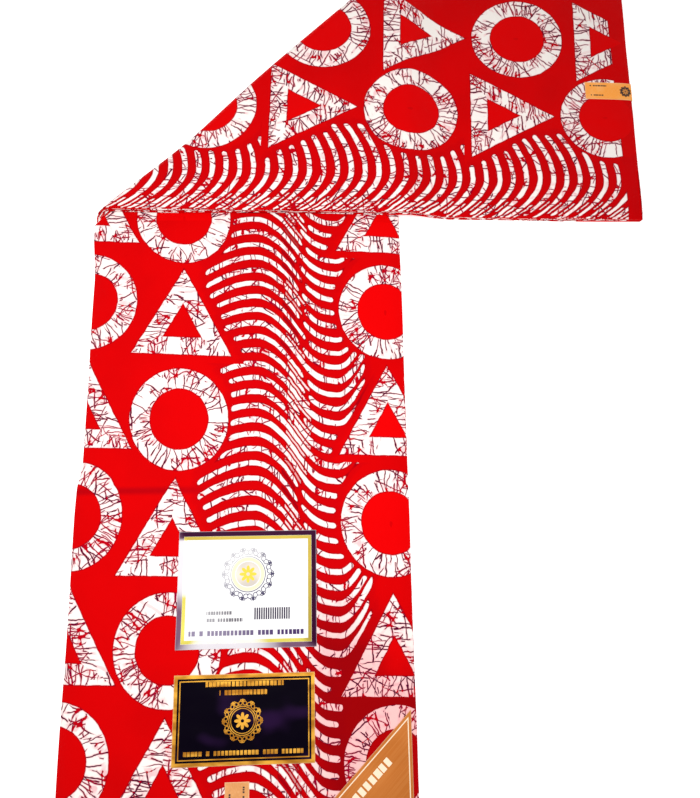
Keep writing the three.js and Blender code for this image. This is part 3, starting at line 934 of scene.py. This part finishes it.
def loop_tree():
    """Geometry Nodes that set a loop of thread at each step along some lines."""
    tree = bpy.data.node_groups.new("selvedge_loops", "GeometryNodeTree")
    inputs = (
        ("Lines", "NodeSocketGeometry", None),
        ("Pitch", "NodeSocketFloat", LOOP_PITCH),
        ("Reach", "NodeSocketFloat", LOOP_REACH),
        ("Thread", "NodeSocketFloat", THREAD_HALF),
        ("Turn", "NodeSocketFloat", 0.0),
        ("Seed", "NodeSocketInt", 0),
        ("Material", "NodeSocketMaterial", None),
    )
    for name, kind, value in inputs:
        socket = tree.interface.new_socket(name, in_out="INPUT", socket_type=kind)
        if value is not None:
            socket.default_value = value
    tree.interface.new_socket("Loops", in_out="OUTPUT", socket_type="NodeSocketGeometry")

    given = Shade(tree).node("NodeGroupInput")

    def add(kind, out=0, **sockets):
        return given.node(kind, None, {key.replace("_", " "): value for key, value in sockets.items()}, out)

    curve = add("GeometryNodeMeshToCurve", Mesh=given.also("Lines"))
    points = given.node("GeometryNodeCurveToPoints", {"mode": "LENGTH"}, {
        "Curve": curve, "Length": given.also("Pitch")})
    arc = add("GeometryNodeCurveArc", Resolution=5, Radius=given.also("Reach"), Start_Angle=0.0,
              Sweep_Angle=math.pi)
    ring = add("GeometryNodeCurvePrimitiveCircle", Resolution=4, Radius=given.also("Thread"))
    loop = add("GeometryNodeCurveToMesh", Curve=arc, Profile_Curve=ring, Fill_Caps=True)
    tilt = add("FunctionNodeRandomValue", "Value", Min=-0.5, Max=0.5, Seed=given.also("Seed"))
    size = add("FunctionNodeRandomValue", "Value", Min=0.7, Max=1.25, Seed=given.also("Seed"),
               ID=add("GeometryNodeInputIndex"))
    turned = add("ShaderNodeCombineXYZ", X=tilt, Z=given.also("Turn"))
    placed = add("GeometryNodeInstanceOnPoints", Points=points, Instance=loop, Rotation=turned, Scale=size)
    real = add("GeometryNodeRealizeInstances", Geometry=placed)
    coloured = add("GeometryNodeSetMaterial", Geometry=real, Material=given.also("Material"))
    add("NodeGroupOutput", Loops=coloured)
    return tree


def selvedge_threads(name, tree, material, at_foot, turn, seed):
    lines = lap_ends(at_foot)
    points = np.vstack(lines)
    starts = np.cumsum([0] + [len(line) for line in lines[:-1]])
    edges = [(start + n, start + n + 1) for start, line in zip(starts, lines) for n in range(len(line) - 1)]
    guide = bpy.data.meshes.new(name + "_lines")
    guide.from_pydata(points.tolist(), edges, [])
    piece = new_object(name, guide)
    modifier = piece.modifiers.new("loops", "NODES")
    modifier.node_group = tree
    values = {"Turn": turn, "Seed": seed, "Material": material}
    for item in tree.interface.items_tree:
        if item.in_out == "INPUT" and item.name in values:
            modifier[item.identifier] = values[item.name]
    evaluated = piece.evaluated_get(bpy.context.evaluated_depsgraph_get())
    mesh = bpy.data.meshes.new_from_object(evaluated)
    mesh.name = name
    piece.modifiers.clear()
    piece.data = mesh
    bpy.data.meshes.remove(guide)
    mesh.shade_smooth()
    return piece


def yarn_material():
    material, shade = new_material("selvedge_yarn")
    x = shade.node("ShaderNodeTexCoord", None, None, "Object").parts()
    uneven = shade.noise(x * 300.0, x.also("Y") * 300.0)
    colour = uneven.ramp(0.3, 0.7).mix(RED, (0.34, 0.0004, 0.003, 1))
    finish_material(shade, Base_Color=colour, Roughness=0.8, Specular_IOR_Level=0.1)
    return material


LOOPS = loop_tree()
YARN = yarn_material()
foot_threads = selvedge_threads("foot_selvedge_threads", LOOPS, YARN, True, math.pi, 3)
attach(foot_threads, "root")
arm_threads = selvedge_threads("arm_selvedge_threads", LOOPS, YARN, False, -math.pi / 2, 8)
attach(arm_threads, "root")


# ======== The white label ========
# Glossy white paper with a dark purple border and a gold band inside it, laid on the lower run and held
# by a spot of paste. Its design is a plain rosette, a ruled block and rows of dashes.

PAPER_LIFT, PAPER_THICK, PAPER_STEP = 0.0003, 0.00022, 0.0035
WHITE_CORNER, WHITE_SIZE = (0.095, 0.153), (0.123, 0.101)


def paper_piece(name, flat, faces, lower, upper):
    """A closed sheet of paper. flat gives each point's place on the paper, faces join the points,
    anticlockwise seen from above, and lower and upper are where its two sides lie."""
    count = len(flat)
    edges = {}
    for face in faces:
        for start, stop in zip(face, face[1:] + face[:1]):
            edges[start, stop] = True
    rim = [edge for edge in edges if edge[::-1] not in edges]
    below = [tuple(point + count for point in face[::-1]) for face in faces]
    walls = [(stop, start, start + count, stop + count) for start, stop in rim]
    points = np.vstack([upper, lower])

    size = flat.max(0)
    on_top = 0.02 + flat / size * np.array([0.96, 0.86])
    hidden = np.array([0.02, 0.90]) + flat / size * np.array([0.96, 0.03])
    bake = [on_top[list(face)] for face in faces]
    bake += [hidden[list(face[::-1])] for face in faces]
    slot = 0.96 / len(rim)
    for n in range(len(rim)):
        left, right = 0.02 + slot * (n + 0.1), 0.02 + slot * (n + 0.9)
        bake.append(np.array([(left, 0.95), (right, 0.95), (right, 0.98), (left, 0.98)]))
    all_faces = list(faces) + below + walls
    corners = [corner for face in all_faces for corner in face]
    on_paper = np.vstack([flat, flat])[corners]
    return mesh_piece(name, points, all_faces, {"paper": on_paper, "OFBake": np.vstack(bake)})


def paper_grid(width, height):
    across, up = steps([0, width], PAPER_STEP), steps([0, height], PAPER_STEP)
    grid = np.stack(np.meshgrid(across, up, indexing="ij"), -1).reshape(-1, 2)
    numbers = np.arange(len(grid)).reshape(len(across), len(up))
    return grid, [tuple(face) for face in quads(numbers, False).tolist()]


def lay_label(name, flat, faces, corner, curls):
    """Lays a paper on the face of the lower run, its lower left at corner. Each curl has its place on the
    paper, its reach and its rise."""
    u, s = flat[:, 0] + corner[0], flat[:, 1] + corner[1]
    lower = place(u, s, STACK)
    lower[:, 2] += run_relief(u, s) + PAPER_LIFT
    for along_x, along_y, reach, rise in curls:
        lower[:, 2] += rise * bell(np.hypot(flat[:, 0] - along_x, flat[:, 1] - along_y) / reach)
    return paper_piece(name, flat, faces, lower, lower + np.array([0, 0, PAPER_THICK]))


def box_distance(x, y, size):
    """How far inside a sheet's rim a place lies, in millimetres."""
    width, height = (MM * side for side in size)
    return x.least(width - x).least(y.least(height - y))


def dashes(x, y, rows):
    """Rows of dashes of uneven length, which stand for printed lines. Each row has its start and stop, the
    level of its middle, its height and the room for one dash."""
    ink = 0.0 * x
    for start, stop, level, height, pitch in rows:
        chance = ((x / pitch).math("FLOOR") + level).chance()
        inside = (x > start) * (x < stop) * (abs(y - level) < height / 2)
        part = (x / pitch).math("FRACT")
        ink = ink.most(inside * (part < 0.62 + 0.3 * chance) * (chance > 0.14))
    return ink


def wreath(x, y, centre, radius, sprigs, size, line):
    """A ring of sprigs, each a leaf between two curls. It gives 1 on them, and how far out a place is."""
    dx, dy = x - centre[0], y - centre[1]
    far = dx.distance(dy)
    turn = dy.math("ARCTAN2", dx) * (sprigs / (2 * math.pi))
    beside = turn.math("PINGPONG", 0.5) * (2 * math.pi / sprigs) * far / size
    above = (far - radius) / size

    def circle(at, up, reach):
        return abs((beside - at).distance(above - up) - reach) < line / size

    leaf = (beside * beside * 1.5 + (above - 1.9) * (above - 1.9) * 0.5) < 0.5
    curls = circle(1.45, 0.4, 1.15).most(circle(2.9, -0.2, 0.55)).most(circle(0.9, 1.9, 0.5))
    return leaf.most(curls), far


def flower(x, y, centre, reach):
    """A plain open flower of eight petals, 1 inside it."""
    dx, dy = x - centre[0], y - centre[1]
    far = dx.distance(dy)
    wave = abs((dy.math("ARCTAN2", dx) * 4.0).math("COSINE"))
    return (far < reach * (0.45 + 0.55 * wave)) * (far > reach * 0.2)


def paper_bump(shade, x, y):
    grain = shade.noise(x / 0.9, y / 0.9, 3.0)
    wave = shade.noise(x / 26.0, y / 26.0, 1.0)
    return wave.bump(0.4, 0.0014, grain.bump(0.06, 0.0001))


WHITE_MIDDLE = (62.0, 63.0)  # of its rosette
WHITE_LINES = ((26.0, 48.0, 30.0, 3.0, 2.3), (26.0, 58.0, 24.0, 3.0, 2.4))
WHITE_FOOT_LINE = ((11.0, 112.0, 13.0, 4.2, 3.4),)
RULED_SIDES, RULED_LEVEL, RULED_HALF, RULED_PITCH = (68.0, 100.0), 29.0, 5.0, 2.0


def white_paper():
    material, shade = new_material("white_paper")
    x, y = map_place(shade, "paper")
    rim = box_distance(x, y, WHITE_SIZE)
    purple = 1.0 - rim.ramp(4.3, 4.5)
    gold = rim.between(4.5, 7.5)
    worn = 1.0 - rim.ramp(0.1, 0.6)
    sprigs, far = wreath(x, y, WHITE_MIDDLE, radius=18.5, sprigs=14, size=1.75, line=0.36)
    faded = 1.0 - (x - y).ramp(-22.0, 12.0)
    inked = sprigs.most(abs(far - 15.4) < 0.34) * (1.0 - 0.52 * faded)
    seal = 1.0 - far.ramp(10.6, 11.0)
    pale_ring = far.between(11.55, 14.55, 0.15)
    star = flower(x, y, WHITE_MIDDLE, 7.6)
    shine = shade.noise(x / 20.0, y / 20.0, 1.0)
    ink = dashes(x, y, WHITE_LINES)
    ruled = (x > RULED_SIDES[0]) * (x < RULED_SIDES[1]) * (abs(y - RULED_LEVEL) < RULED_HALF)
    ruled = ruled * ((x / RULED_PITCH).math("FRACT") < 0.62)
    long_row = dashes(x, y, WHITE_FOOT_LINE)
    field = shade.noise(x / 40.0, y / 40.0).ramp(0.3, 0.7).mix((0.80, 0.79, 0.80, 1), (0.86, 0.85, 0.84, 1))
    field = (inked * 0.95).mix(field, (0.03, 0.02, 0.08, 1))
    field = (pale_ring * 0.6).mix(field, (0.70, 0.62, 0.28, 1))
    field = seal.mix(field, shine.ramp(0.3, 0.7).mix((0.50, 0.45, 0.40, 1), (0.66, 0.60, 0.52, 1)))
    field = star.mix(field, (0.72, 0.52, 0.06, 1))
    field = ink.mix(field, x.ramp(26.0, 56.0).mix((0.34, 0.33, 0.35, 1), (0.13, 0.12, 0.14, 1)))
    field = ruled.mix(field, (0.03, 0.02, 0.05, 1))
    field = long_row.mix(field, x.ramp(20.0, 100.0).mix((0.26, 0.22, 0.32, 1), (0.06, 0.03, 0.12, 1)))
    # The foil's colour is deep on the upper and right sides and paler on the other two. It is nearly white in
    # one place on the left side and one on the lower side. These pale parts are painted glare.
    sides = (MM * WHITE_SIZE[0] - x).least(MM * WHITE_SIZE[1] - y) - x.least(y)
    uneven = shine - 0.5
    painted_glare_sides = (sides + uneven * 14.0).ramp(-5.0, 9.0)
    left_glare_spot = x.distance(y - 72.0) + uneven * 12.0
    left_glare_spot = (1.0 - left_glare_spot.ramp(20.0, 38.0)) * (1.0 - y.ramp(92.0, 96.0))
    lower_glare_spot = (x - 46.0).distance(y * 2.0) + uneven * 12.0
    painted_glare = left_glare_spot.most(1.0 - lower_glare_spot.ramp(22.0, 50.0))
    purples = painted_glare_sides.mix((0.027, 0.0002, 0.018, 1), (0.15, 0.075, 0.13, 1))
    purples = painted_glare.mix(purples, (0.64, 0.60, 0.63, 1))
    golds = painted_glare_sides.mix((0.33, 0.245, 0.038, 1), (0.52, 0.45, 0.080, 1))
    golds = painted_glare.ramp(0.5, 1.0).mix(golds, (0.66, 0.65, 0.60, 1))
    colour = gold.mix(purple.mix(field, purples), golds)
    colour = (worn * 0.4).mix(colour, (0.7, 0.68, 0.72, 1))
    foil = gold.most(purple * 0.3).most(seal * 0.3)
    finish_material(shade, Base_Color=colour, Metallic=foil * 0.2, Roughness=0.40 - 0.06 * foil + 0.1 * worn,
                    Normal=paper_bump(shade, x, y), Specular_IOR_Level=0.03)
    return material


WHITE_CURLS = (0, 0, 0.020, 0.0016), (*WHITE_SIZE, 0.016, 0.0009)
white_label = lay_label("white_paper_label", *paper_grid(*WHITE_SIZE), WHITE_CORNER, WHITE_CURLS)
white_label.data.materials.append(white_paper())
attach(white_label, "root")
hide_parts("white_label")


# ======== The navy label ========
# Glossy paper, nearly black, with a gold foil border, a thin gold line inside it and a gold rosette
# between rows of gold dashes. It is pasted on the lower run, below the white label.

NAVY_CORNER, NAVY_SIZE = (0.095, 0.059), (0.121, 0.073)
NAVY_MIDDLE = (59.0, 35.0)
NAVY_LINES = (
    (27.0, 94.0, 65.0, 4.0, 3.3),
    (39.0, 80.0, 58.0, 4.0, 3.1),
    (9.0, 112.0, 10.0, 3.6, 3.2),
)


def navy_paper():
    material, shade = new_material("navy_paper")
    x, y = map_place(shade, "paper")
    rim = box_distance(x, y, NAVY_SIZE)
    border = 1.0 - rim.ramp(3.0, 3.2)
    inner = rim.between(4.8, 5.7)
    sprigs, far = wreath(x, y, NAVY_MIDDLE, radius=13.8, sprigs=12, size=1.35, line=0.36)
    rings = (abs(far - 11.6) < 0.38).most(abs(far - 10.0) < 0.3)
    star = flower(x, y, NAVY_MIDDLE, 7.0)
    foil = border.most(inner).most(sprigs).most(rings).most(star).most(dashes(x, y, NAVY_LINES))
    shine = shade.noise(x / 24.0, y / 9.0, 2.0).ramp(0.3, 0.72)
    # Painted sheen: lighter violet patches on the dark field.
    painted_sheen = shade.noise(x / 34.0, y / 26.0, 1.0).ramp(0.5, 0.85)
    field = painted_sheen.mix((0.0012, 0.0, 0.0035, 1), (0.016, 0.004, 0.030, 1))
    foil_colour = shine.mix((0.40, 0.15, 0.014, 1), (0.88, 0.44, 0.055, 1))
    worn = 1.0 - rim.ramp(0.1, 0.5)
    colour = (worn * 0.5).mix(foil.mix(field, foil_colour), (0.75, 0.55, 0.35, 1))
    roughness = 0.38 - 0.06 * foil + 0.12 * worn
    finish_material(shade, Base_Color=colour, Metallic=foil * 0.35, Roughness=roughness,
                    Normal=paper_bump(shade, x, y), Specular_IOR_Level=0.03)
    return material


NAVY_CURLS = ((0, NAVY_SIZE[1], 0.018, 0.0008),)
navy_label = lay_label("navy_paper_label", *paper_grid(*NAVY_SIZE), NAVY_CORNER, NAVY_CURLS)
navy_label.data.materials.append(navy_paper())
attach(navy_label, "root")
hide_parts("navy_label")


# ======== The corner label ========
# A right triangle of gold foil paper with a cream line inside its rim and a row of cream dashes along the
# slope. It is pasted in the corner of the lower run's foot.

CORNER_LEG = 0.092
CORNER_AT = (LAP - 0.005 - CORNER_LEG, 0.007)
CORNER_STEPS = 30
CORNER_LINE = ((43.0, 88.0, 14.0, 7.0, 6.4),)


def corner_grid():
    """The triangle's points run along its lower leg, and up from it as far as the slope."""
    flat = []
    number = {}
    for column in range(CORNER_STEPS + 1):
        for row in range(column + 1):
            number[column, row] = len(flat)
            flat.append((CORNER_LEG * column / CORNER_STEPS, CORNER_LEG * row / CORNER_STEPS))
    faces = []
    for column in range(CORNER_STEPS):
        for row in range(column + 1):
            low, right = number[column, row], number[column + 1, row]
            faces.append((low, right, number[column + 1, row + 1]))
            if row < column:
                faces.append((low, number[column + 1, row + 1], number[column, row + 1]))
    return np.array(flat), faces


def corner_paper():
    material, shade = new_material("gold_foil_paper")
    x, y = map_place(shade, "paper")
    from_slope = (x - y) / ROOT2
    rim = from_slope.least(y).least(CORNER_LEG * MM - x)
    cream_line = rim.between(2.5, 3.4)
    along_slope = (x + y) / ROOT2
    cream = cream_line.most(dashes(along_slope, from_slope, CORNER_LINE))
    brushed = shade.noise(along_slope / 60.0, from_slope / 1.2, 3.0)
    broad = shade.noise(x / 50.0, y / 50.0, 1.0).ramp(0.3, 0.7)
    gold = broad.mix((0.55, 0.160, 0.024, 1), (0.62, 0.190, 0.034, 1))
    gold = (brushed.ramp(0.35, 0.7) * 0.10).mix(gold, (0.90, 0.42, 0.13, 1))
    worn = 1.0 - rim.ramp(0.1, 0.6)
    colour = cream.mix(gold, (0.93, 0.76, 0.55, 1))
    colour = (worn * 0.5).mix(colour, (0.85, 0.62, 0.42, 1))
    finish_material(shade, Base_Color=colour, Metallic=0.35 - 0.35 * cream, Roughness=0.40 + 0.03 * brushed,
                    Normal=paper_bump(shade, x, y), Specular_IOR_Level=0.2)
    return material


CORNER_CURLS = ((0, 0, 0.012, 0.0009),)
corner_label = lay_label("corner_paper_label", *corner_grid(), CORNER_AT, CORNER_CURLS)
corner_label.data.materials.append(corner_paper())
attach(corner_label, "root")
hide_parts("corner_label")


# ======== The stickers on the selvedges ========
# Strips of tan paper. Each is stuck to the face near one end of the strip, goes down over the selvedges
# and is tucked under, so that it holds the laps together.

STICKER_LIFT = 0.00025
STICKER_STEP = 0.004


def wrap_sticker(name, end_at, reach, top, under, outwards):
    """top and under are h at the sticker's two sides, and outwards is the way off the strip's end."""
    up = np.array([0, 0, 1.0])
    count = math.ceil(reach / STICKER_STEP)
    path = [(reach * (1 - n / count), top, 0.0) for n in range(count)]
    path += [(0, top, 22.5 * n) for n in range(5)]
    path += [(0, top + (under - top) * n / 6, 90.0) for n in range(1, 6)]
    path += [(0, under, 90 + 22.5 * n) for n in range(5)]
    path += [(reach * n / count, under, 180.0) for n in range(1, count + 1)]
    across = steps([STICKER_NEAR, STICKER_FAR], STICKER_STEP)
    from_end, height, turn = (np.array(column) for column in zip(*path))
    u, from_end = np.meshgrid(across, from_end, indexing="ij")
    s = end_at(u, from_end)
    points = place(u, s, np.broadcast_to(height, u.shape))
    turn = np.radians(turn)[None, :, None]
    way = np.cos(turn) * up + np.sin(turn) * np.array(outwards)
    relief = (run_relief if top > under else arm_relief)(u, s) * (turn[..., 0] < 0.1)
    points[..., 2] += relief
    lower = points + way * STICKER_LIFT
    upper = points + way * (STICKER_LIFT + PAPER_THICK)
    gone = np.linalg.norm(np.diff(upper, axis=1), axis=-1).mean(0)
    down = np.append(0, np.cumsum(gone))
    flat = np.stack(np.broadcast_arrays(u - STICKER_NEAR, down[None]), -1).reshape(-1, 2)
    numbers = np.arange(len(flat)).reshape(u.shape)
    faces = [tuple(face) for face in quads(numbers, top > under).tolist()]
    return paper_piece(name, flat, faces, lower.reshape(-1, 3), upper.reshape(-1, 3))


def tan_paper(name, tones, lines, mark):
    """tones are its darker and lighter colour, and lines the dashes down the sticker. mark is how far
    down a round dark mark lies, or None."""
    material, shade = new_material(name)
    x, y = map_place(shade, "paper")
    width = (STICKER_FAR - STICKER_NEAR) * MM
    ink = dashes(y, x, lines)
    if mark is not None:
        disc, far = wreath(x, y, (width / 2, mark), radius=5.0, sprigs=10, size=0.6, line=0.2)
        ink = ink.most(far < 5.4).most(disc) * (1.0 - flower(x, y, (width / 2, mark), 4.0) * 0.6)
    rim = x.least(width - x).least(y)
    worn = 1.0 - rim.ramp(0.1, 0.7)
    cloudy = shade.noise(x / 18.0, y / 18.0, 2.0)
    fibre = shade.noise(x / 0.7, y / 2.2, 3.0)
    colour = cloudy.ramp(0.3, 0.7).mix(*tones)
    colour = (fibre.ramp(0.4, 0.8) * 0.2).mix(colour, (0.97, 0.62, 0.30, 1))
    colour = (worn * 0.45).mix(colour, (0.97, 0.75, 0.5, 1))
    colour = ink.mix(colour, (0.035, 0.015, 0.012, 1))
    finish_material(shade, Base_Color=colour, Roughness=0.5 + 0.12 * fibre, Normal=paper_bump(shade, x, y))
    return material


foot_sticker = wrap_sticker(
    "foot_paper_sticker", lambda u, back: back, REACH_ON_FOOT, STACK, 0, (0, -1, 0))
FOOT_TONES = (0.66, 0.27, 0.075, 1), (0.73, 0.32, 0.10, 1)
FOOT_LINES = (6.5, 22.0, 4.2, 1.6, 1.8), (3.5, 20.0, 15.8, 1.6, 1.8)
foot_sticker.data.materials.append(tan_paper("tan_paper_foot", FOOT_TONES, FOOT_LINES, None))
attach(foot_sticker, "root")
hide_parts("foot_sticker")

arm_sticker = wrap_sticker(
    "arm_paper_sticker", lambda u, back: arm_end(u) - back, REACH_ON_ARM, 0, STACK, (1, 0, 0))
ARM_TONES = (0.98, 0.34, 0.035, 1), (0.98, 0.40, 0.085, 1)
ARM_LINES = (5.0, 24.0, 16.4, 1.6, 1.8), (6.0, 20.0, 4.8, 1.6, 1.8)
ARM_MARK = 45.0
arm_sticker.data.materials.append(tan_paper("tan_paper_arm", ARM_TONES, ARM_LINES, ARM_MARK))
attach(arm_sticker, "root")
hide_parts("arm_sticker")


# ======== The floor, the light and the camera ========
# A plain white surface, soft light from all round with a lamp overhead, and a camera that looks down.

FLOOR_HALF = 12.0

floor_mesh = bpy.data.meshes.new("floor")
floor_corners = [(x * FLOOR_HALF, y * FLOOR_HALF, 0) for x, y in ((-1, -1), (1, -1), (1, 1), (-1, 1))]
floor_mesh.from_pydata(floor_corners, [], [(0, 1, 2, 3)])
floor = new_object("floor", floor_mesh)
floor_material, floor_shade = new_material("white_floor")
finish_material(floor_shade, Base_Color=(0.94, 0.94, 0.94, 1), Roughness=0.9, Specular_IOR_Level=0.1,
                Emission_Color=(1, 1, 1, 1), Emission_Strength=0.6)
floor_mesh.materials.append(floor_material)

world = bpy.data.worlds.new("soft_white")
world.use_nodes = True
background = world.node_tree.nodes["Background"]
background.inputs["Color"].default_value = (1, 1, 1, 1)
background.inputs["Strength"].default_value = 0.50
bpy.context.scene.world = world

key_light = bpy.data.lights.new("key", "AREA")
key_light.shape = "DISK"
key_light.size = 0.45
key_light.energy = 5.2
new_object("key", key_light).location = (-0.15, -0.07, 0.70)

camera_data = bpy.data.cameras.new("camera")
camera_data.lens = 31.53
camera_data.sensor_width = 36
camera = new_object("camera", camera_data)
camera.matrix_world = Matrix((
    (0.99818906, 0.00379129, -0.06003524, -0.07219),
    (-0.01684683, 0.97569343, -0.21849146, -0.20528),
    (0.05774763, 0.21910718, 0.97399038, 0.65950),
    (0, 0, 0, 1),
))
bpy.context.scene.camera = camera
bpy.context.scene.view_settings.view_transform = "Standard"
